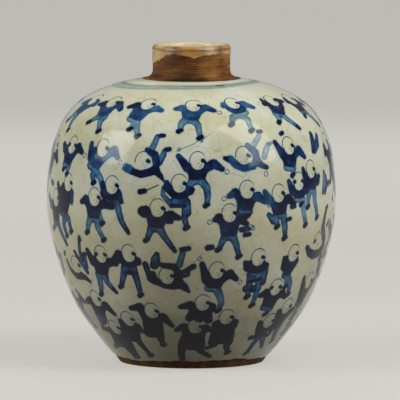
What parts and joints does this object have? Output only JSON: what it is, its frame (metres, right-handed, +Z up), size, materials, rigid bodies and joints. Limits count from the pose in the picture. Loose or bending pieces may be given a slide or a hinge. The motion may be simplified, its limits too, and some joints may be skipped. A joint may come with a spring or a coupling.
{
  "type": "globular vase",
  "caption": "Globular porcelain storage jar with a short straight neck, a tapering lower body and a small turned foot ring.",
  "frame": {"origin": "centre of the foot ring's resting face", "axes": "+Z up along the jar's turning axis, -Y towards the side shown in the picture, +X to its right"},
  "size_m": [0.2008, 0.2008, 0.22],
  "materials": {
    "porcelain_body": "bare fired clay, matt, burnt reddish brown at the foot",
    "joining_slip": "fired slip, matt",
    "neck_biscuit": "bare clay with a brown wash, satin",
    "painted_glaze": "crackled cream glaze over cobalt painting, glossy",
    "lip_glaze": "thin honey-coloured glaze, semi-gloss",
    "plain_glaze": "thin off-white glaze, glossy"
  },
  "bodies": {
    "root": {"lower_body": "porcelain_body", "upper_body": "porcelain_body", "body_seam": "joining_slip", "neck": "neck_biscuit", "neck_seam": "neck_biscuit", "outer_glaze": "painted_glaze", "inner_glaze": "plain_glaze", "lip_glaze": "lip_glaze", "base_glaze": "plain_glaze"}
  },
  "joints": []
}
